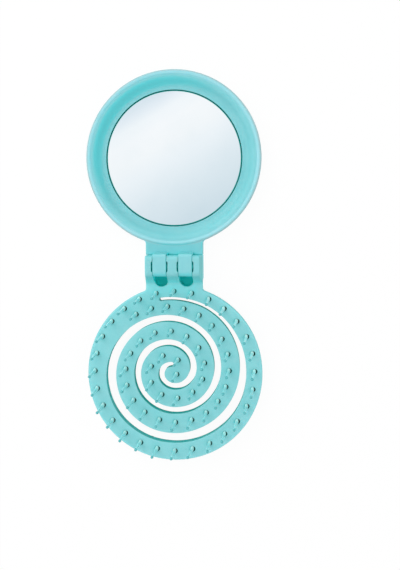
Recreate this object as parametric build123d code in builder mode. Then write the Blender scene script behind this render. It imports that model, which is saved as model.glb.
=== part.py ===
"""Folding pocket hairbrush with a mirror, lying open and flat, face up.

Two round halves are joined by a snap hinge. The mirror half is a shallow moulded dish
with a glass mirror stuck in it. The brush half is a flat plate, cut by a spiral slot
into a springy arm, with separate ball-tipped pins pushed through it from behind.
"""
from build123d import *
import math
import os

# ---------------------------------------------------------------- driving dimensions, mm
# Layout. The hinge axis lies along X above the origin. The mirror half is towards +Y,
# the brush half is towards -Y, and their flat backs lie in the plane Z = 0.
round_radius = 33.2         # outer radius of the mirror dish and of the brush plate
hinge_reach = 7.6           # from the hinge axis to the rim of either round
face_height = 6.5           # mirror rim and brush face above the flat backs
closed_gap = 0.5            # room between the pin tips and the mirror rim when folded

# Mirror dish, its widths measured one after another inwards from the outer radius
lip_width = 1.8             # from the outer radius to the foot of the lip's bead
lip_crest_inset = 0.95      # from the outer radius to the top of the bead
lip_rise = 0.35             # how far the bead stands above the edge of the cove
cove_width = 4.7            # from the foot of the bead to the ledge round the glass
ledge_width = 0.75
glass_side_gap = 0.25       # between the glass and the wall of its seat
foam_inset = 1.7            # from the edge of the glass to the edge of the foam
back_inset = 5.7            # from the outer radius to the edge of the flat back
back_slope = 0.1            # rise per millimetre where the bowl leaves the flat back
shoulder_height = 5.6       # where the bowl is widest
dish_depth = 3.0            # from the lip down to the glass
glass_thickness = 1.8
glass_bevel = 0.35
foam_thickness = 0.5
ledge_rise = 0.1            # the ledge round the glass stands this much above it

# Hinge
side_knuckle_width = 3.3    # at the height of the brush face
middle_knuckle_width = 4.3
knuckle_draft = 0.6         # how far the block's sides lean in from the face to the crest
lug_width = 5.1
lug_side_gap = 0.1          # between a lug and the knuckle on either side
knuckle_front = 4.1         # from the hinge axis to the knuckles' front wall
open_stop_gap = 0.12        # between the knuckles' front wall and the neck, open
knuckle_crest = 2.2         # top of the knuckles and lugs above the hinge axis
knuckle_crest_back = 3.1    # from the hinge axis to where the knuckles start to slope
knuckle_foot = 6.5          # from the hinge axis to where the slope meets the face
neck_height = 6.2
neck_overlap = 3.4          # how far the neck runs in under the lip
lug_end = 3.7               # from the hinge axis to the free end of a lug
lug_back = 4.8              # from the hinge axis to the top of a lug's steep back
lug_root_height = 2.0       # underside of the lugs where they leave the neck
lug_root_depth = 1.2        # how far the lugs are sunk into the neck
snap_rise = 0.6             # how far each domed trunnion stands out of its lug
snap_radius = 1.1           # radius of a trunnion
snap_clearance = 0.08       # between a trunnion and its socket
snap_lip = 0.1              # undercut that holds a trunnion in its socket
lead_in_length = 4.4        # opening above a socket, along the handle
pocket_end = 7.9            # from the hinge axis to the round end of a lug's pocket
pocket_floor = 1.2
pocket_wall = 1.2           # wall round the pockets under the brush plate

# Brush plate and its spiral slot
plate_thickness = 3.5
spiral_centre_x = -1.25     # from the plate's centre
spiral_centre_y = 1.0
slot_inset = 4.05           # from the outer radius to the spiral that the slot follows
slot_core_radius = 1.22     # radius at which that spiral ends
slot_turns = 3
slot_width = 2.6
# The slot starts narrow beside a ring of even width, swings into the spiral during its
# first turn, and curls to a narrow end. Each station is (degrees clockwise from the hinge
# side, distance out from the spiral in pitches, width in slot widths).
slot_start = (-8, -0.212, 0.46)
first_turn = (
    (30, -0.089, 0.54),
    (60, -0.021, 0.69),
    (90, 0.031, 0.95),
    (120, 0.088, 1.36),
    (150, 0.11, 1.45),
    (180, 0.13, 1.42),
    (210, 0.142, 1.42),
    (240, 0.122, 1.46),
    (270, 0.085, 1.43),
    (300, 0.035, 1.29),
    (330, 0.006, 1.07),
)
even_run = (360, 960, 30)   # first and last degrees of the even spiral, and the step
slot_end = (1080, 0.127, 0.7)

# Pins
pin_length = 8.5            # above the brush face
pin_radius = 0.6
pin_neck_radius = 0.38      # just under the ball tip
pin_tip_radius = 0.55
pin_head_radius = 1.1
pin_head_thickness = 0.5
pin_hole_clearance = 0.02
pin_well_radius = 0.92      # open well round each pin at the brush face
pin_well_depth = 1.1
ring_pin_count = 28
ring_pin_inset = 2.8        # from the outer radius to the circle of pins
ring_pin_shift = 0.8        # from the plate's centre to the circle's, towards the hinge
ring_pins_per_group = 4
arm_pin_inset = 0.15        # how far the arm's pins stand inside its middle
arm_pin_first_angle = -31.7
arm_pin_last_angle = 843.0
arm_pin_count = 35
arm_pins_per_group = 5

# Rounded edges
edge_fillet = 0.5           # outer edges of the brush plate and the hinge block
plate_root_fillet = 1.4
knuckle_crest_fillet = 1.5
knuckle_back_fillet = 2.4
knuckle_foot_fillet = 1.4
lug_back_fillet = 1.3
lug_nose_fillet = 2.1
lug_heel_fillet = 1.9
lug_edge_fillet = 0.3
neck_root_fillet = 1.4
neck_edge_fillet = 0.5

# ---------------------------------------------------------------- derived places
hinge_to_centre = round_radius + hinge_reach
back_radius = round_radius - back_inset
lip_crest_radius = round_radius - lip_crest_inset
lip_foot_radius = round_radius - lip_width
lip_foot_height = face_height - lip_rise
cove_foot_radius = lip_foot_radius - cove_width
seat_radius = cove_foot_radius - ledge_width
glass_radius = seat_radius - glass_side_gap
foam_radius = glass_radius - foam_inset
axis_height = face_height + (pin_length + closed_gap) / 2
plate_back = face_height - plate_thickness
knuckle_top = axis_height + knuckle_crest
clear_above = knuckle_top + knuckle_crest
pocket_width = lug_width + 2 * lug_side_gap
lug_x = (middle_knuckle_width + pocket_width) / 2
hinge_width = middle_knuckle_width + 2 * (pocket_width + side_knuckle_width)
neck_end = knuckle_front + open_stop_gap
glass_top = face_height - dish_depth
glass_bottom = glass_top - glass_thickness
dish_floor = glass_bottom - foam_thickness
ledge_height = glass_top + ledge_rise
dome_radius = lug_width / 2 + snap_rise
socket_radius = dome_radius + snap_clearance
lead_in_reach = socket_radius - snap_lip
mirror_y = hinge_to_centre
brush_y = -hinge_to_centre
neck_reach = mirror_y - neck_end - round_radius + neck_overlap
root_reach = math.sqrt(round_radius**2 - (hinge_width / 2) ** 2)
spiral_x = spiral_centre_x
spiral_y = brush_y + spiral_centre_y
slot_start_radius = round_radius - slot_inset
spiral_pitch = (slot_start_radius - slot_core_radius) / slot_turns
arm_pin_radius = slot_start_radius - spiral_pitch / 2 - arm_pin_inset
ring_pin_radius = round_radius - ring_pin_inset
ring_pin_y = brush_y + ring_pin_shift
pocket_round = pocket_width / 2
boss_radius = pocket_round + pocket_wall


def corner(sketch, along, up):
    """The sketch's corner nearest to a place given in the sketch's own axes."""
    return sketch.vertices().sort_by_distance((along, up, 0))[0]


def spiral_point(angle, radius):
    """A point round the spiral's centre, its angle in degrees clockwise from the hinge side."""
    turn = math.radians(angle)
    return (spiral_x + radius * math.sin(turn), spiral_y + radius * math.cos(turn))


def slot_stations():
    """(angle, radius of the slot's middle, width) all along the slot."""
    first, last, step = even_run
    even = [(angle, 0, 1) for angle in range(first, last + step, step)]
    stations = []
    for angle, swing, swell in [slot_start, *first_turn, *even, slot_end]:
        middle = slot_start_radius + spiral_pitch * (swing - angle / 360)
        stations.append((angle, middle, slot_width * swell))
    return stations


def smooth_line(points):
    """Short splines end to end through the points, with one direction where two meet."""
    steps = [Vector(*end) - Vector(*start) for start, end in zip(points, points[1:])]
    headings = []
    for before, after in zip(steps, steps[1:]):
        headings.append(before / before.length**2 + after / after.length**2)
    # The ends head as the circle through the three outermost points does.
    first_chord = steps[0].normalized()
    last_chord = steps[-1].normalized()
    first = first_chord * (2 * headings[0].dot(first_chord)) - headings[0]
    last = last_chord * (2 * headings[-1].dot(last_chord)) - headings[-1]
    headings = [first, *headings, last]
    for i in range(len(steps)):
        Spline(points[i], points[i + 1], tangents=(headings[i], headings[i + 1]))


def arm_pin_places():
    """Pin places at even steps along the middle of the spiral arm, from its root inwards."""
    steps = 4000
    span = (arm_pin_last_angle - arm_pin_first_angle) / steps
    angles = [arm_pin_first_angle + span * i for i in range(steps + 1)]
    radii = [arm_pin_radius - spiral_pitch * a / 360 for a in angles]
    run = [0.0]
    for radius in radii[1:]:
        run.append(run[-1] + math.hypot(radius * math.radians(span), spiral_pitch * span / 360))
    places = []
    for i in range(arm_pin_count):
        goal = run[-1] * i / (arm_pin_count - 1)
        nearest = min(range(steps + 1), key=lambda j: abs(run[j] - goal))
        places.append(spiral_point(angles[nearest], radii[nearest]))
    return places


def ring_pin_places():
    """Pin places round the plate's rim, clockwise from the hinge side."""
    turns = [2 * math.pi * i / ring_pin_count for i in range(ring_pin_count)]
    return [
        (ring_pin_radius * math.sin(t), ring_pin_y + ring_pin_radius * math.cos(t)) for t in turns
    ]


ring_places = ring_pin_places()
arm_places = arm_pin_places()
pin_places = ring_places + arm_places

# ---------------------------------------------------------------- mirror_frame
# One moulding: the dish, the neck, and two hinge lugs with a domed trunnion on each side.
dish_plane = Plane(origin=(0, mirror_y, 0), x_dir=(1, 0, 0), z_dir=(0, -1, 0))
dish_axis = Axis((0, mirror_y, 0), (0, 0, 1))

with BuildPart() as trunnion:
    Cylinder(snap_radius, lug_width + 2 * snap_rise, rotation=(0, 90, 0))
    Sphere(dome_radius, mode=Mode.INTERSECT)

with BuildPart() as lug:
    with BuildSketch(Plane.YZ.offset(-lug_width / 2)) as lug_side:
        with BuildLine():
            Polyline(
                (neck_end + lug_root_depth, lug_root_height),
                (lug_back, knuckle_top),
                (-lug_end, knuckle_top),
                (-lug_end, axis_height - knuckle_crest),
                (neck_end, lug_root_height),
                close=True,
            )
        make_face()
        fillet(corner(lug_side, lug_back, knuckle_top), lug_back_fillet)
        fillet(corner(lug_side, -lug_end, knuckle_top), lug_nose_fillet)
        fillet(corner(lug_side, -lug_end, axis_height - knuckle_crest), lug_heel_fillet)
    extrude(amount=lug_width)
    lug_rims = lug.faces().filter_by(Axis.X).edges()
    fillet(lug_rims.filter_by_position(Axis.Z, axis_height, clear_above), lug_edge_fillet)
    with Locations((0, 0, axis_height)):
        add(trunnion.part)

with BuildPart() as mirror_frame:
    # Neck, flared where it meets the bowl.
    with BuildSketch(Plane.XY) as neck_plan:
        with Locations((0, mirror_y)):
            Circle(round_radius)
        neck_length = mirror_y - neck_end
        with Locations((0, neck_end + neck_length / 2)):
            Rectangle(hinge_width, neck_length)
        roots = [
            corner(neck_plan, side * hinge_width / 2, mirror_y - root_reach) for side in (-1, 1)
        ]
        fillet(roots, neck_root_fillet)
        with Locations((0, neck_end + neck_reach / 2)):
            Rectangle(hinge_width + 3 * neck_root_fillet, neck_reach, mode=Mode.INTERSECT)
    extrude(amount=neck_height)
    neck_top = mirror_frame.faces().sort_by(Axis.Z)[-1]
    neck_sides = neck_top.edges().sort_by(Axis.Y)[1:-1]
    fillet(neck_sides, neck_edge_fillet)

    # Bowl and lip.
    with BuildSketch(dish_plane):
        with BuildLine():
            Line((0, 0), (back_radius, 0))
            Spline(
                (back_radius, 0),
                (round_radius, shoulder_height),
                tangents=((1, back_slope), (0, 1)),
            )
            Spline(
                (round_radius, shoulder_height),
                (lip_crest_radius, face_height),
                tangents=((0, 1), (-1, 0)),
            )
            Line((lip_crest_radius, face_height), (0, face_height))
            Line((0, face_height), (0, 0))
        make_face()
    revolve(axis=dish_axis)

    # Cavity: the cove down to the ledge, and the seat for the pad and the glass.
    with BuildSketch(dish_plane):
        with BuildLine():
            Line((0, dish_floor), (seat_radius, dish_floor))
            Line((seat_radius, dish_floor), (seat_radius, ledge_height))
            Line((seat_radius, ledge_height), (cove_foot_radius, ledge_height))
            Spline(
                (cove_foot_radius, ledge_height),
                (lip_foot_radius, lip_foot_height),
                tangents=((1, 0), (1, 0)),
            )
            Spline(
                (lip_foot_radius, lip_foot_height),
                (lip_crest_radius, face_height),
                tangents=((1, 1), (1, 0)),
            )
            Line((lip_crest_radius, face_height), (0, face_height))
            Line((0, face_height), (0, dish_floor))
        make_face()
    revolve(axis=dish_axis, mode=Mode.SUBTRACT)

    # Lugs, rising from the neck to the hinge axis.
    with Locations(*[(side * lug_x, 0, 0) for side in (-1, 1)]):
        add(lug.part)

mirror_frame.part.label = "mirror_frame"

# ---------------------------------------------------------------- mirror_glass, mirror_pad
with BuildPart() as mirror_glass:
    with BuildSketch(Plane.XY.offset(glass_bottom)):
        with Locations((0, mirror_y)):
            Circle(glass_radius)
    extrude(amount=glass_thickness)
    chamfer(mirror_glass.faces().sort_by(Axis.Z)[-1].edges(), glass_bevel)

mirror_glass.part.label = "mirror_glass"

with BuildPart() as mirror_pad:
    with BuildSketch(Plane.XY.offset(dish_floor)):
        with Locations((0, mirror_y)):
            Circle(foam_radius)
    extrude(amount=foam_thickness)

mirror_pad.part.label = "mirror_pad"

# ---------------------------------------------------------------- brush_base
# One moulding: the hinge block with three knuckles, and the plate with its spiral slot.
with BuildPart() as hinge_block:
    # Side view of the block, from the knuckles' front wall down to the plate, run out wide
    # and trimmed by the front view.
    with BuildSketch(Plane.YZ) as block_side:
        with BuildLine():
            Polyline(
                (knuckle_front, 0),
                (knuckle_front, knuckle_top),
                (-knuckle_crest_back, knuckle_top),
                (-knuckle_foot, face_height),
                (-pocket_end, face_height),
                (-pocket_end, face_height - plate_thickness / 2),
                (-pocket_end + pocket_round, face_height - plate_thickness / 2),
                (-pocket_end + pocket_round, 0),
                close=True,
            )
        make_face()
        fillet(corner(block_side, knuckle_front, knuckle_top), knuckle_crest_fillet)
        fillet(corner(block_side, -knuckle_crest_back, knuckle_top), knuckle_back_fillet)
        fillet(corner(block_side, -knuckle_foot, face_height), knuckle_foot_fillet)
    extrude(amount=hinge_width, both=True)
    # Front view: upright below the brush face, leaning in above it.
    with BuildSketch(Plane.XZ) as block_front:
        with BuildLine():
            Polyline(
                (-hinge_width / 2, 0),
                (-hinge_width / 2, face_height),
                (-hinge_width / 2 + knuckle_draft, knuckle_top),
                (hinge_width / 2 - knuckle_draft, knuckle_top),
                (hinge_width / 2, face_height),
                (hinge_width / 2, 0),
                close=True,
            )
        make_face()
    extrude(amount=pocket_end, both=True, mode=Mode.INTERSECT)
    block_skin = hinge_block.faces().filter_by(lambda face: round(face.normal_at().X) == 0)
    block_rims = block_skin.edges().filter_by(Axis.X, reverse=True)
    upper_rims = block_rims.filter_by_position(Axis.Z, face_height - edge_fillet, clear_above)
    behind_front = knuckle_front - edge_fillet / 2
    fillet(upper_rims.filter_by_position(Axis.Y, -pocket_end, behind_front), edge_fillet)

with BuildPart() as socket:
    Cylinder(snap_radius + snap_clearance, 2 * socket_radius, rotation=(0, 90, 0))
    Sphere(socket_radius, mode=Mode.INTERSECT)

with BuildPart() as pin_hole:
    with BuildSketch(Plane.XZ):
        with BuildLine():
            Polyline(
                (0, plate_back),
                (pin_head_radius + pin_hole_clearance, plate_back),
                (pin_head_radius + pin_hole_clearance, plate_back + pin_head_thickness),
                (pin_radius + pin_hole_clearance, plate_back + pin_head_thickness),
                (pin_radius + pin_hole_clearance, face_height - pin_well_depth),
                (pin_well_radius, face_height - pin_well_depth),
                (pin_well_radius, face_height),
                (0, face_height),
                close=True,
            )
        make_face()
    revolve(axis=Axis.Z)

with BuildPart() as brush_base:
    # Plate, with a tongue that runs on into the hinge block.
    with BuildSketch(Plane.XY.offset(plate_back)) as plate_plan:
        with Locations((0, brush_y)):
            Circle(round_radius)
        with Locations((0, brush_y / 2)):
            Rectangle(hinge_width, -brush_y)
        roots = [
            corner(plate_plan, side * hinge_width / 2, brush_y + root_reach) for side in (-1, 1)
        ]
        fillet(roots, plate_root_fillet)
    extrude(amount=plate_thickness)
    plate_rims = brush_base.faces().filter_by(Axis.Z).edges()
    fillet(plate_rims.filter_by_position(Axis.Y, 2 * brush_y, -edge_fillet), edge_fillet)
    add(hinge_block.part)

    # Round bosses that close the pockets under the plate.
    with BuildSketch(Plane.XY):
        with Locations(*[(side * lug_x, -pocket_end + pocket_round) for side in (-1, 1)]):
            Circle(boss_radius)
    extrude(amount=plate_back)

    # Pockets that take the lugs, open at the front and round at the back.
    with BuildSketch(Plane.XY.offset(pocket_floor)):
        for side in (-1, 1):
            straight = knuckle_front + pocket_end - pocket_round
            with Locations((side * lug_x, knuckle_front - straight / 2)):
                Rectangle(pocket_width, straight)
            with Locations((side * lug_x, -pocket_end + pocket_round)):
                Circle(pocket_round)
    extrude(amount=knuckle_top, mode=Mode.SUBTRACT)

    # Snap sockets on the hinge axis, and the lead-ins above them.
    with BuildSketch(Plane.XY.offset(axis_height)) as lead_in_plan:
        with Locations(*[(side * lug_x, 0) for side in (-1, 1)]):
            Rectangle(2 * lead_in_reach, lead_in_length)
        chamfer(lead_in_plan.vertices(), snap_rise)
    extrude(amount=2 * knuckle_crest, mode=Mode.SUBTRACT)
    with Locations(*[(side * lug_x, 0, axis_height) for side in (-1, 1)]):
        add(socket.part, mode=Mode.SUBTRACT)

    # Stepped pin holes: a seat for the head behind, a snug bore, and an open well in front.
    with Locations(*[(x, y, 0) for x, y in pin_places]):
        add(pin_hole.part, mode=Mode.SUBTRACT)

    # Spiral slot, right through the plate.
    stations = slot_stations()
    outer_edge = [spiral_point(a, r + w / 2) for a, r, w in stations]
    inner_edge = [spiral_point(a, r - w / 2) for a, r, w in stations]
    first_angle, first_radius, first_width = stations[0]
    last_angle, last_radius, last_width = stations[-1]
    first_round = math.degrees(first_width / 2 / first_radius)
    last_round = math.degrees(last_width / 2 / last_radius)
    with BuildSketch(Plane.XY.offset(plate_back)):
        with BuildLine():
            smooth_line(outer_edge)
            smooth_line(inner_edge)
            ThreePointArc(
                outer_edge[0], spiral_point(first_angle - first_round, first_radius), inner_edge[0]
            )
            ThreePointArc(
                outer_edge[-1], spiral_point(last_angle + last_round, last_radius), inner_edge[-1]
            )
        make_face()
    extrude(amount=plate_thickness, mode=Mode.SUBTRACT)

brush_base.part.label = "brush_base"

# ---------------------------------------------------------------- pins
# One pin: a flat head, a straight shank through the plate, a taper and a ball tip.
tip_centre = face_height + pin_length - pin_tip_radius
neck_drop = math.sqrt(pin_tip_radius**2 - pin_neck_radius**2)
with BuildPart() as pin:
    with BuildSketch(Plane.XZ):
        with BuildLine():
            Polyline(
                (0, plate_back),
                (pin_head_radius, plate_back),
                (pin_head_radius, plate_back + pin_head_thickness),
                (pin_radius, plate_back + pin_head_thickness),
                (pin_radius, face_height),
                (pin_neck_radius, tip_centre - neck_drop),
            )
            ThreePointArc(
                (pin_neck_radius, tip_centre - neck_drop),
                (pin_tip_radius, tip_centre),
                (0, tip_centre + pin_tip_radius),
            )
            Line((0, tip_centre + pin_tip_radius), (0, plate_back))
        make_face()
    revolve(axis=Axis.Z)


def pin_groups(name, places, per_group):
    """One node for each run of neighbouring pins; every pin in it is its own solid."""
    groups = []
    for start in range(0, len(places), per_group):
        with BuildPart() as group:
            with Locations(*[(x, y, 0) for x, y in places[start : start + per_group]]):
                add(pin.part)
        group.part.label = f"{name}_{start // per_group + 1}"
        groups.append(group.part)
    return groups


ring_pins = pin_groups("ring_pins", ring_places, ring_pins_per_group)
arm_pins = pin_groups("arm_pins", arm_places, arm_pins_per_group)

# ---------------------------------------------------------------- export
os.makedirs("parts", exist_ok=True)
mouldings = [mirror_frame.part, mirror_glass.part, mirror_pad.part, brush_base.part]
for piece in mouldings + ring_pins + arm_pins:
    export_step(piece, f"parts/{piece.label}.step")
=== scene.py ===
"""Dresses the folding pocket hairbrush: materials, pins, studio and camera.

Lengths are in metres. Those that a comment gives in mm, as in the CAD, are multiplied by MM.
"""
import math
import random

import bmesh
import bpy
from mathutils import Euler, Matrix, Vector


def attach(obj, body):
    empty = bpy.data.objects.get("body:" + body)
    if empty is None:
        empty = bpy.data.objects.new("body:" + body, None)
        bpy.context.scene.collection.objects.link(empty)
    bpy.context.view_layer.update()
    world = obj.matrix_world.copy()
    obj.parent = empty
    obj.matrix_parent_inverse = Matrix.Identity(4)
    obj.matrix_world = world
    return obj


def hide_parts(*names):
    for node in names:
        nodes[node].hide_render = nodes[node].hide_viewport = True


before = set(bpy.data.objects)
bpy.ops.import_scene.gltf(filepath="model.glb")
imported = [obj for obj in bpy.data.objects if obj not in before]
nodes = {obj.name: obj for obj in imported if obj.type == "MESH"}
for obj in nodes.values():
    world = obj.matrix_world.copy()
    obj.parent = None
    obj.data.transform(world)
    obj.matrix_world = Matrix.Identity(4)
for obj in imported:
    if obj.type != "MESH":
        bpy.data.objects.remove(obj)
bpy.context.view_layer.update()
MM = 0.001


# ---------------------------------------------------------------- shader helpers
def srgb(red, green, blue, alpha=1.0):
    """A colour given as it looks on screen, 0 to 255, as the linear values shaders take."""
    parts = [c / 255 for c in (red, green, blue)]
    linear = [c / 12.92 if c <= 0.04045 else ((c + 0.055) / 1.055) ** 2.4 for c in parts]
    return (*linear, alpha)


class Shader:
    """A node material, built up one node at a time."""

    def __init__(self, name):
        self.material = bpy.data.materials.new(name)
        self.material.use_nodes = True
        self.tree = self.material.node_tree
        self.tree.nodes.clear()
        self.output = self.tree.nodes.new("ShaderNodeOutputMaterial")

    def node(self, kind, settings=None, **inputs):
        """Adds a node. Its sockets go by name, or by number as i0, i1 and so on."""
        made = self.tree.nodes.new("ShaderNode" + kind)
        for key, value in (settings or {}).items():
            setattr(made, key, value)
        for key, value in inputs.items():
            self.put(made, key.replace("_", " "), value)
        return made

    def put(self, made, key, value):
        """Sets a socket by name or number, or links it when the value is another socket."""
        socket = made.inputs[int(key[1:])] if key[0] == "i" and key[1:].isdigit() else made.inputs[key]
        if isinstance(value, bpy.types.NodeSocket):
            self.tree.links.new(value, socket)
        else:
            socket.default_value = value

    def maths(self, operation, first, second=0.0, clamp=False):
        made = self.node("Math", {"operation": operation, "use_clamp": clamp}, i0=first, i1=second)
        return made.outputs[0]

    def span(self, value, low, high, to_low=0.0, to_high=1.0):
        """Maps low..high smoothly onto to_low..to_high."""
        made = self.node(
            "MapRange",
            {"interpolation_type": "SMOOTHSTEP"},
            Value=value, From_Min=low, From_Max=high, To_Min=to_low, To_Max=to_high,
        )
        return made.outputs[0]

    def span_mm(self, value, stretch, to_low=0.0, to_high=1.0):
        """The same for a length, over a stretch given in mm."""
        low, high = stretch
        return self.span(value, low * MM, high * MM, to_low, to_high)

    def blend(self, factor, first, second):
        made = self.node("Mix", {"data_type": "RGBA"})
        self.put(made, "i0", factor)
        self.put(made, "i6", first)
        self.put(made, "i7", second)
        return made.outputs[2]

    def noise(self, scale, detail=3.0, roughness=0.5):
        place = self.node("TexCoord").outputs["Object"]
        made = self.node("TexNoise", Vector=place, Scale=scale, Detail=detail, Roughness=roughness)
        return made.outputs["Fac"]

    def place(self):
        """Where a point lies on its own piece, as x, y and z outputs."""
        return self.node("SeparateXYZ", Vector=self.node("TexCoord").outputs["Object"]).outputs

    def from_axis(self, place, along):
        """How far a place lies from an upright axis, along mm from the hinge."""
        beyond = self.maths("SUBTRACT", place["Y"], along * MM)
        squares = self.maths(
            "ADD", self.maths("MULTIPLY", beyond, beyond), self.maths("MULTIPLY", place["X"], place["X"])
        )
        return self.maths("SQRT", squares)

    def facing_up(self, low, high):
        """1 where a piece's own surface faces up, as it lies open, falling to 0 on its sides."""
        facing = self.node("SeparateXYZ", Vector=self.node("TexCoord").outputs["Normal"]).outputs["Z"]
        return self.span(facing, low, high)

    def open_air(self, reach):
        """1 where nothing stands within reach in mm, towards 0 in narrow places."""
        return self.node("AmbientOcclusion", {"samples": 8}, Distance=reach * MM).outputs["AO"]

    def finish(self, surface):
        self.tree.links.new(surface.outputs[0], self.output.inputs["Surface"])
        return self.material


# ---------------------------------------------------------------- materials
# Heights and places in mm: the brush face, the dish's centre, and the heights over which up-facing
# tops take more and more of a painted light tone.
FACE = 6.5
DISH_CENTRE = 40.8
TOP_TONE_HEIGHTS = (9.0, 12.6)
# Painted shade in crevices comes in from just below the brush face down.
CREVICE_SHADE_HEIGHTS = (FACE - 0.25, FACE - 0.05)
# How far from a point other surfaces still shelter it, for painted shade in hollows and crevices.
HOLLOW_REACH = 10.0
CREVICE_REACH = 1.2
# The mirror's lip, as radii about the dish's centre: over which its bead's painted highlight comes
# # in, its outer edge's greyer painted highlight comes in, and both end at the wall. Going up, the wall
# # turns into lip over LIP_HEIGHTS.
BEAD_RADII = (30.8, 31.9)
EDGE_RADII = (32.2, 32.9)
WALL_RADII = (33.2, 33.5)
LIP_HEIGHTS = (4.8, 5.8)
AWAY_FROM_KEY = (0.7, -0.7, 0.0)


def mirror_lip(s, place, body, top_tone, painted_tone_mask):
    """The mirror frame's painted light: sides turned away from the key light take a painted, more
    saturated shade, the lip's bead a painted highlight, and its outer edge a greyer painted highlight."""
    facing = s.node("TexCoord").outputs["Normal"]
    leaning = s.node("VectorMath", {"operation": "DOT_PRODUCT"}, i0=facing, i1=AWAY_FROM_KEY)
    turned_away = s.span(leaning.outputs["Value"], 0.03, 0.50, 0.0, 0.88)
    # Sides turned away from the key light take a painted shade, more saturated teal.
    body = s.blend(turned_away, body, srgb(96, 216, 222))
    out = s.from_axis(place, DISH_CENTRE)
    lip = s.span_mm(out, WALL_RADII, 1.0, 0.0)
    lip = s.maths("MULTIPLY", lip, s.span_mm(place["Z"], LIP_HEIGHTS))
    # The lip's bead takes the painted top tone as a painted highlight, and its outer edge a greyer
    # painted highlight.
    bead_highlight = s.maths("MULTIPLY", lip, s.span_mm(out, BEAD_RADII))
    edge = s.maths("MULTIPLY", lip, s.span_mm(out, EDGE_RADII))
    top_tone = s.blend(edge, top_tone, srgb(162, 195, 199))
    return body, top_tone, s.maths("ADD", painted_tone_mask, bead_highlight, True)


def teal_plastic(name, light, dark, top_tone, top_tone_share, hinge, deep, near, has_lip=False):
    """Satin moulded plastic: faint mottling, fine grain, and a painted light tone on raised tops.

    It lets a little light through. Its hollows are painted: hinge and deep each hold three colours
    of painted shade, saturated teal rather than grey, for slightly sheltered places, hollows and
    crevices: hinge close to the hinge and deep elsewhere. near gives the places along the handle,
    in mm, where deep gives way to hinge.
    """
    s = Shader(name)
    mottle = s.span(s.noise(160, 4.0, 0.55), 0.3, 0.7)
    cloud = s.span(s.noise(42, 2.0), 0.35, 0.65)
    body = s.blend(s.maths("MULTIPLY", mottle, 0.5), light, dark)
    body = s.blend(s.maths("MULTIPLY", cloud, 0.25), body, srgb(150, 215, 220))
    up = s.facing_up(0.25, 0.85)
    # Sides that do not face up take a painted shade, darker and more saturated than the tops.
    body = s.blend(up, srgb(96, 197, 200), body)
    place = s.place()
    # Raised up-facing tops take a painted light tone in random patches: a paler painted sheen on the
    # frame, a darker painted shade on the brush's knuckle tops.
    painted_tone_mask = s.maths("MULTIPLY", up, s.span_mm(place["Z"], TOP_TONE_HEIGHTS, 0.0, top_tone_share))
    if has_lip:
        body, top_tone, painted_tone_mask = mirror_lip(s, place, body, top_tone, painted_tone_mask)
    patchy = s.span(s.noise(260, 3.0), 0.3, 0.7, 0.75, 1.0)
    body = s.blend(s.maths("MULTIPLY", painted_tone_mask, patchy), body, top_tone)
    in_hinge = s.span_mm(place["Y"], near)
    # Sheltered places, hollows and crevices take painted shade: saturated teal that also stands in for
    # light coming through the walls.
    mild_shade_colour, hollow_shade_colour, crevice_shade_colour = [s.blend(in_hinge, a, b) for a, b in zip(deep, hinge)]
    wide = s.open_air(HOLLOW_REACH)
    body = s.blend(s.span(wide, 0.60, 0.88), mild_shade_colour, body)
    hollow_shade = s.span(wide, 0.18, 0.60, 1.0, 0.0)
    body = s.blend(hollow_shade, body, hollow_shade_colour)
    narrow = s.span(s.open_air(CREVICE_REACH), 0.15, 0.70, 1.0, 0.0)
    sunk = s.span_mm(place["Z"], CREVICE_SHADE_HEIGHTS, 1.0, 0.0)
    sunk = s.maths("MAXIMUM", sunk, in_hinge)
    body = s.blend(s.maths("MULTIPLY", narrow, sunk), body, crevice_shade_colour)
    rounded = s.node("Bevel", {"samples": 6}, Radius=0.16 * MM)
    fine = s.noise(5200, 3.0, 0.6)
    bump = s.node(
        "Bump", Strength=0.10, Distance=0.02 * MM, Height=fine, Normal=rounded.outputs["Normal"]
    )
    shine = s.span(s.noise(900, 4.0, 0.6), 0.3, 0.7, 0.42, 0.52)
    shine = s.maths("ADD", shine, s.maths("MULTIPLY", hollow_shade, 0.5), True)
    surface = s.node("BsdfPrincipled", Base_Color=body, Roughness=shine, Normal=bump.outputs["Normal"])
    s.put(surface, "IOR", 1.5)
    s.put(surface, "Specular IOR Level", 0.22)
    s.put(surface, "Subsurface Weight", 0.5)
    s.put(surface, "Subsurface Radius", (0.7, 0.95, 1.0))
    s.put(surface, "Subsurface Scale", 1.6 * MM)
    return s.finish(surface)


def mirror_silver(name):
    """Back-silvered glass: a clear reflection on the face, and a ground edge round it painted teal as a
    painted reflection of the dish, with a little real metal reflection.
    """
    s = Shader(name)
    haze = s.span(s.noise(55, 3.0), 0.35, 0.75)
    tint = s.blend(s.maths("MULTIPLY", haze, 0.5), srgb(250, 252, 253), srgb(242, 247, 249))
    smear = s.span(s.noise(300, 5.0, 0.65), 0.45, 0.8, 0.015, 0.05)
    face = s.node("BsdfPrincipled", Base_Color=tint, Roughness=smear)
    s.put(face, "Metallic", 1.0)
    s.put(face, "Coat Weight", 0.25)
    s.put(face, "Coat Roughness", 0.02)
    scratch = s.noise(2600, 3.0, 0.7)
    # The ground edge's teal is a painted reflection of the dish, brightened for the little light in the
    # gap; its partial metal finish reflects for real.
    ground = s.node(
        "BsdfPrincipled",
        Base_Color=s.blend(scratch, srgb(30, 184, 178), srgb(62, 204, 198)),
        Roughness=s.span(scratch, 0.3, 0.7, 0.16, 0.3),
    )
    s.put(ground, "Metallic", 0.35)
    both = s.node("MixShader")
    s.put(both, "i0", s.facing_up(0.80, 0.97))
    s.put(both, "i1", ground.outputs[0])
    s.put(both, "i2", face.outputs[0])
    return s.finish(both)


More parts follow.
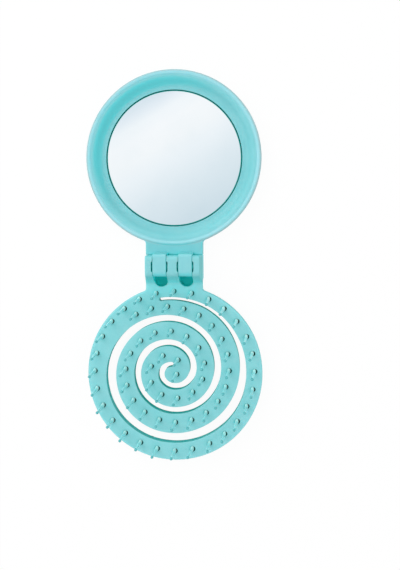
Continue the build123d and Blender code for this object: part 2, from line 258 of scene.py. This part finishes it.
# Heights in mm over which the nylon changes, going up: from its foot's colour to its own, and
# # from a painted dark teal shade in the well to its foot's colour.
NYLON_CLIMB = (FACE + 0.1, 9.6)
NYLON_WELL_SHADE = (FACE - 0.5, FACE)


def pin_nylon(name):
    """Milky nylon, palest at the foot, tealer towards the tip, and painted dark teal shade down in the
    well.
    """
    s = Shader(name)
    height = s.place()["Z"]
    climb = s.span_mm(height, NYLON_CLIMB)
    streak = s.span(s.noise(1500, 3.0, 0.6), 0.3, 0.7, 0.0, 0.25)
    body = s.blend(climb, srgb(198, 246, 241), srgb(146, 220, 224))
    body = s.blend(streak, body, srgb(186, 240, 236))
    # Below the brush face the nylon takes a painted shade, dark teal, where the well shades it.
    body = s.blend(s.span_mm(height, NYLON_WELL_SHADE), srgb(0, 112, 104), body)
    surface = s.node("BsdfPrincipled", Base_Color=body, Roughness=s.span(streak, 0.0, 0.25, 0.36, 0.48))
    s.put(surface, "IOR", 1.53)
    s.put(surface, "Subsurface Weight", 0.8)
    s.put(surface, "Subsurface Radius", (1.0, 1.0, 1.0))
    s.put(surface, "Subsurface Scale", 0.8 * MM)
    return s.finish(surface)


def ball_resin(name):
    """Glossy teal resin of the pins' ball tips, with small flow marks."""
    s = Shader(name)
    flow = s.span(s.noise(2400, 2.0), 0.3, 0.7)
    body = s.blend(flow, srgb(78, 176, 180), srgb(98, 188, 192))
    surface = s.node("BsdfPrincipled", Base_Color=body, Roughness=s.span(flow, 0.0, 1.0, 0.24, 0.36))
    s.put(surface, "Coat Weight", 0.15)
    s.put(surface, "Coat Roughness", 0.2)
    return s.finish(surface)


def foam(name):
    """Closed-cell foam: fine pits in an off-white sheet, painted darker towards their middles as shade.
    """
    s = Shader(name)
    cells = s.node("TexVoronoi", Scale=1900.0, Vector=s.node("TexCoord").outputs["Object"])
    pit_and_shade = s.span(cells.outputs["Distance"], 0.0, 0.6)
    # Pits are painted darker towards their middles, as shade in them.
    body = s.blend(pit_and_shade, srgb(196, 197, 193), srgb(232, 232, 228))
    bump = s.node("Bump", Strength=0.5, Distance=0.05 * MM, Height=pit_and_shade)
    return s.finish(
        s.node("BsdfPrincipled", Base_Color=body, Roughness=0.85, Normal=bump.outputs["Normal"])
    )


def floor_paper(name):
    """Pale paper that looks white from above and still takes the object's soft shadow."""
    s = Shader(name)
    fibre = s.span(s.noise(700, 4.0, 0.6), 0.3, 0.7)
    paper = s.node("BsdfDiffuse", Color=s.blend(fibre, srgb(246, 246, 247), srgb(250, 250, 250)))
    glow = s.node("Emission", Color=(1.0, 1.0, 1.0, 1.0), Strength=1.0)
    path = s.node("LightPath").outputs
    seen = s.maths("ADD", path["Is Camera Ray"], path["Is Glossy Ray"], True)
    seen = s.maths("ADD", seen, path["Is Transmission Ray"], True)
    both = s.node("MixShader")
    s.put(both, "i0", s.maths("MULTIPLY", seen, 0.95))
    s.put(both, "i1", paper.outputs[0])
    s.put(both, "i2", glow.outputs[0])
    return s.finish(both)


def dress(name, material):
    """Gives a CAD node one material all over."""
    mesh = nodes[name].data
    mesh.materials.clear()
    mesh.materials.append(material)


silver = mirror_silver("mirror_silver")
nylon = pin_nylon("pin_nylon")
resin = ball_resin("ball_resin")
# In both plastics hinge and deep hold colours of painted shade, and the top tone is a painted light tone
# for raised tops.
frame_teal = teal_plastic(
    "teal_plastic_frame",
    light=srgb(132, 207, 213),
    dark=srgb(114, 199, 206),
    top_tone=srgb(160, 219, 227),
    top_tone_share=0.25,
    hinge=(srgb(134, 212, 219), srgb(48, 226, 224), srgb(24, 200, 198)),
    deep=(srgb(136, 194, 198), srgb(104, 188, 192), srgb(20, 176, 170)),
    near=(12.0, 9.0),
    has_lip=True,
)
base_teal = teal_plastic(
    "teal_plastic",
    light=srgb(149, 218, 222),
    dark=srgb(131, 211, 216),
    top_tone=srgb(131, 203, 209),
    top_tone_share=0.7,
    hinge=(srgb(130, 235, 240), srgb(64, 254, 252), srgb(30, 226, 224)),
    deep=(srgb(82, 194, 197), srgb(31, 204, 194), srgb(0, 140, 130)),
    near=(-13.0, -8.5),
)
dress("mirror_frame", frame_teal)
dress("brush_base", base_teal)
dress("mirror_glass", silver)
dress("mirror_pad", foam("foam"))


# ---------------------------------------------------------------- pins
# Heights in mm: the plate's back, the head's top, the floor of the well, where the lean starts,
# and the tip. Then the radii of the ball and of the neck below it.
PLATE_BACK = 3.0
HEAD_TOP = 3.5
WELL_FLOOR = 5.4
TIP = 15.0
BALL = 0.56
NECK = 0.38
# The shaft with its head, from the back up, as (radius, height) in mm.
SHAFT = [
    (0.0, PLATE_BACK), (0.92, PLATE_BACK), (1.06, PLATE_BACK + 0.06), (1.1, PLATE_BACK + 0.16),
    (1.1, HEAD_TOP - 0.04), (1.06, HEAD_TOP), (0.61, HEAD_TOP), (0.6, HEAD_TOP + 0.1),
    (0.6, WELL_FLOOR), (0.65, 5.9), (0.65, FACE), (0.63, 6.9), (0.59, 7.6), (0.54, 9.2), (0.5, 10.8),
    (0.46, 12.2), (0.41, 13.4), (NECK, TIP - 2 * BALL + 0.1), (0.2, TIP - BALL),
]
AROUND = 20
# Above the well's floor a pin's foot is oval, longer along the handle, and sits a little to the
# left and towards the hinge. Both come in over FOOT_RISE, and the oval ends at OVAL_END after
# fading over OVAL_FADE.
OVAL = 0.48
SET_ASIDE = (-0.2, 0.13)
FOOT_RISE = 0.4
OVAL_END = 7.6
OVAL_FADE = 1.1
# The lean at the foot, as a share of the whole pin's lean: a pin curves a little as it rises.
LEAN_AT_FOOT = 0.86
# In mm: the crowns are the points this near the tip's height, and those of one pin lie this
# near one another.
CROWN_DEPTH = 0.25
CROWN_WIDTH = 1.5


def lathe(mesh_builder, outline, foot, lean, seam_at):
    """Turns an outline of (radius, height) into one closed solid, leaning above the well."""
    rings = []
    for radius, height in outline:
        reach = max(0.0, height - WELL_FLOOR)
        bend = reach * (LEAN_AT_FOOT + (1 - LEAN_AT_FOOT) * reach / (TIP - WELL_FLOOR))
        aside = min(1.0, reach / FOOT_RISE)
        across = aside * SET_ASIDE[0] + lean[0] * bend
        along = aside * SET_ASIDE[1] + lean[1] * bend
        oval = 1.0 + OVAL * aside * min(1.0, max(0.0, (OVAL_END - height) / OVAL_FADE))
        centre = Vector((foot[0] + across * MM, foot[1] + along * MM, height * MM))
        if radius < 1e-6:
            rings.append([mesh_builder.verts.new(centre)])
            continue
        ring = []
        for i in range(AROUND):
            turn = 2 * math.pi * i / AROUND + seam_at
            spoke = Vector((math.cos(turn), math.sin(turn) * oval, 0)) * radius * MM
            ring.append(mesh_builder.verts.new(centre + spoke))
        rings.append(ring)
    for low, high in zip(rings, rings[1:]):
        for i in range(AROUND):
            j = (i + 1) % AROUND
            if len(low) == 1 and len(high) > 1:
                mesh_builder.faces.new((low[0], high[j], high[i]))
            elif len(high) == 1 and len(low) > 1:
                mesh_builder.faces.new((low[i], low[j], high[0]))
            elif len(low) > 1 and len(high) > 1:
                mesh_builder.faces.new((low[i], low[j], high[j], high[i]))
    if len(rings[-1]) > 1:
        mesh_builder.faces.new(rings[-1])


def ball_outline():
    """The ball tip, from its south pole inside the shaft to the crown."""
    steps = 12
    centre = TIP - BALL
    points = []
    for i in range(steps + 1):
        turn = math.pi * i / steps
        points.append((BALL * math.sin(turn) if 0 < i < steps else 0.0, centre - BALL * math.cos(turn)))
    return points


def feet(node):
    """Where the pins of one CAD node stand, read from the crowns of their tips."""
    crowns = []
    for vertex in nodes[node].data.vertices:
        point = vertex.co.copy()
        if point.z <= (TIP - CROWN_DEPTH) * MM:
            continue
        for crown in crowns:
            if math.hypot(point.x - crown[0].x, point.y - crown[0].y) < CROWN_WIDTH * MM:
                crown.append(point)
                break
        else:
            crowns.append([point])
    centres = []
    for crown in crowns:
        xs = [p.x for p in crown]
        ys = [p.y for p in crown]
        centres.append(((min(xs) + max(xs)) / 2, (min(ys) + max(ys)) / 2))
    return sorted(centres)


def object_from(builder, name, material):
    """Turns a finished bmesh into an object of the scene with one material."""
    mesh = bpy.data.meshes.new(name)
    bmesh.ops.recalc_face_normals(builder, faces=builder.faces)
    builder.to_mesh(mesh)
    builder.free()
    mesh.materials.append(material)
    mesh.shade_smooth()
    made = bpy.data.objects.new(name, mesh)
    bpy.context.scene.collection.objects.link(made)
    return made


# The pins settle a little off upright, each its own way about one common lean.
spread = random.Random(41)
SETTLED = (-0.07, -0.12)
SETTLED_SPREAD = 0.022
for node in sorted(n for n in nodes if n.startswith(("ring_pins", "arm_pins"))):
    shafts = bmesh.new()
    balls = bmesh.new()
    for foot in feet(node):
        lean = [way + spread.gauss(0, SETTLED_SPREAD) for way in SETTLED]
        seam = spread.random()
        lathe(shafts, SHAFT, foot, lean, seam)
        lathe(balls, ball_outline(), foot, lean, seam)
    shaft_piece = object_from(shafts, node + "_shafts", nylon)
    ball_piece = object_from(balls, node + "_balls", resin)
    for piece in (shaft_piece, ball_piece):
        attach(piece, "brush_half")
        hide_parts(node)

# ---------------------------------------------------------------- studio
# The floor lies a hair below the object, so that no faces share a plane.
FLOOR_SIZE = 6.0
FLOOR_DROP = 0.05
bpy.ops.mesh.primitive_plane_add(size=FLOOR_SIZE, location=(0, 0, -FLOOR_DROP * MM))
floor = bpy.context.object
floor.name = "floor"
floor.data.materials.append(floor_paper("floor_paper"))

scene = bpy.context.scene
world = bpy.data.worlds.new("studio")
scene.world = world
world.use_nodes = True
tree = world.node_tree
tree.nodes.clear()


def world_node(kind, settings=None, links=()):
    """Adds a node to the world and sets or links its sockets, by name or number."""
    made = tree.nodes.new("ShaderNode" + kind)
    for key, value in (settings or {}).items():
        setattr(made, key, value)
    for socket, value in links:
        if isinstance(value, bpy.types.NodeSocket):
            tree.links.new(value, made.inputs[socket])
        else:
            made.inputs[socket].default_value = value
    return made


# Glossy rays see one long soft card, brightest near its middle. Camera and transmission rays see
# plain white, and all others a dome that is brighter overhead than at the horizon.
# Each stop of the card is (distance across it as seen in the mirror, in mm, and its colour).
CARD = [
    (-23, srgb(211, 226, 234)), (-11, srgb(225, 236, 242)), (0, srgb(240, 246, 250)),
    (6, srgb(247, 250, 252)), (12.5, srgb(250, 252, 254)), (17, srgb(246, 250, 253)),
    (20.5, srgb(232, 240, 247)), (23.5, srgb(220, 232, 240)), (40, srgb(236, 243, 249)),
]
CARD_ACROSS = (-0.496, 0.868, 0.0)
CARD_START = -25
CARD_END = 45
# In metres: the camera's height over the glass, and how far along CARD_ACROSS the mirror's centre
# lies from the camera.
MIRROR_REACH = 0.2965
MIRROR_MIDDLE = 0.0366
# How bright the dome is at the horizon and overhead.
DOME_EDGE = 0.66
DOME_TOP = 1.0
direction = world_node("TexCoord").outputs["Generated"]
across = world_node(
    "VectorMath", {"operation": "DOT_PRODUCT"}, ((0, direction), (1, CARD_ACROSS))
)
along = world_node(
    "MapRange",
    None,
    (
        ("Value", across.outputs["Value"]),
        ("From Min", (CARD_START * MM + MIRROR_MIDDLE) / MIRROR_REACH),
        ("From Max", (CARD_END * MM + MIRROR_MIDDLE) / MIRROR_REACH),
    ),
)
ramp = world_node("ValToRGB")
tree.links.new(along.outputs[0], ramp.inputs["Fac"])
stops = ramp.color_ramp.elements
while len(stops) < len(CARD):
    stops.new(1.0)
for stop, (place, colour) in zip(stops, CARD):
    stop.position = (place - CARD_START) / (CARD_END - CARD_START)
    stop.color = colour
path = world_node("LightPath").outputs
height = world_node("SeparateXYZ", None, ((0, direction),)).outputs["Z"]
sky = world_node(
    "MapRange", None, (("Value", height), ("To Min", DOME_EDGE), ("To Max", DOME_TOP))
).outputs[0]
dome = world_node("Background", None, (("Color", (1.0, 1.0, 1.0, 1.0)), ("Strength", sky)))
cards = world_node("Background", None, (("Color", ramp.outputs["Color"]), ("Strength", 1.0)))
backdrop = world_node("Background", None, (("Color", (1.0, 1.0, 1.0, 1.0)), ("Strength", 1.0)))
glossy = world_node(
    "MixShader", None, ((0, path["Is Glossy Ray"]), (1, dome.outputs[0]), (2, cards.outputs[0]))
)
seen = world_node("Math", {"operation": "ADD", "use_clamp": True})
tree.links.new(path["Is Camera Ray"], seen.inputs[0])
tree.links.new(path["Is Transmission Ray"], seen.inputs[1])
final = world_node(
    "MixShader", None, ((0, seen.outputs[0]), (1, glossy.outputs[0]), (2, backdrop.outputs[0]))
)
output = world_node("OutputWorld")
tree.links.new(final.outputs[0], output.inputs["Surface"])


def lamp(name, place, aim, size, watts):
    """A square soft white light at a place, turned towards a point."""
    light = bpy.data.lights.new(name, "AREA")
    light.shape = "SQUARE"
    light.size = size
    light.energy = watts
    made = bpy.data.objects.new(name, light)
    made.location = place
    made.rotation_euler = (Vector(aim) - Vector(place)).to_track_quat("-Z", "Y").to_euler()
    scene.collection.objects.link(made)
    return made


lamp("key", place=(-0.48, 0.46, 0.54), aim=(0, 0, 0), size=0.75, watts=2.7)

# ---------------------------------------------------------------- camera
camera_data = bpy.data.cameras.new("camera")
camera_data.lens = 49.368
camera_data.sensor_width = 36.0
camera_data.shift_x = -0.0176
camera_data.shift_y = -0.0703
camera_data.clip_start = 0.01
camera = bpy.data.objects.new("camera", camera_data)
camera.location = (0.03157, 0.01666, 0.300)
camera.rotation_euler = Euler((-0.03035, 0.06062, -0.00609), "XYZ")
scene.collection.objects.link(camera)
scene.camera = camera
scene.view_settings.view_transform = "Standard"
